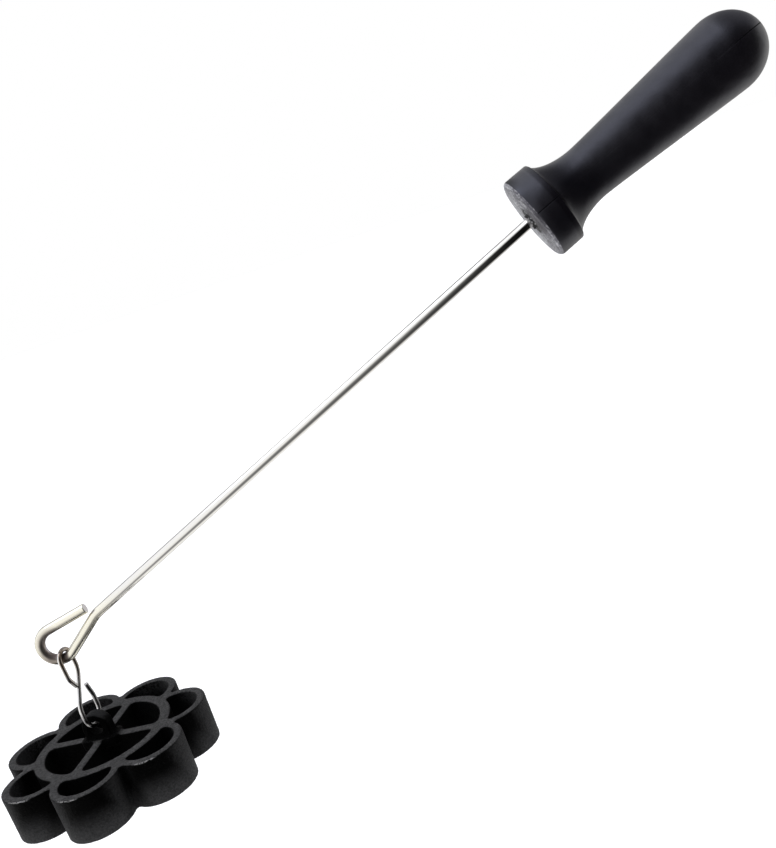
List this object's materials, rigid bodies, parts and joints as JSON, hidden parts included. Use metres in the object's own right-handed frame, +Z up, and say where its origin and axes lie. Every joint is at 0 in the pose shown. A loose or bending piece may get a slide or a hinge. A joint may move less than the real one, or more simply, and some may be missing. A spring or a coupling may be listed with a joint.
{
  "type": "rosette iron",
  "caption": "Rosette iron: a petalled cast mould hangs by a wire link from a hooked rod with a moulded handle, to dip in batter and fry.",
  "frame": {"origin": "on the handle's axis at the middle of the grip, where a hand holds it", "axes": "+Z up; +X horizontal, away from the mould, in the vertical plane that holds the rod"},
  "size_m": [0.3373, 0.0774, 0.1927],
  "materials": {
    "handle": "satin black moulding with a scuffed flange face",
    "rod": "bright plated wire",
    "s_link": "drawn steel wire, a little dull",
    "mould": "black seasoned casting with a greyer rim"
  },
  "bodies": {
    "grip_and_rod": {"handle": "handle", "rod": "rod"},
    "link": {"s_link": "s_link"},
    "mould": {"mould": "mould"}
  },
  "joints": [
    {"name": "link_swing", "type": "hinge", "parent": "grip_and_rod", "child": "link", "pos_m": [-0.25327, 0, -0.11433], "axis": [1, 0, 0], "range_deg": [-90, 90]},
    {"name": "mould_tilt", "type": "hinge", "parent": "link", "child": "mould", "pos_m": [-0.25217, 0, -0.14235], "axis": [0.2334, 0.9724, 0], "range_deg": [-50, 50]}
  ]
}
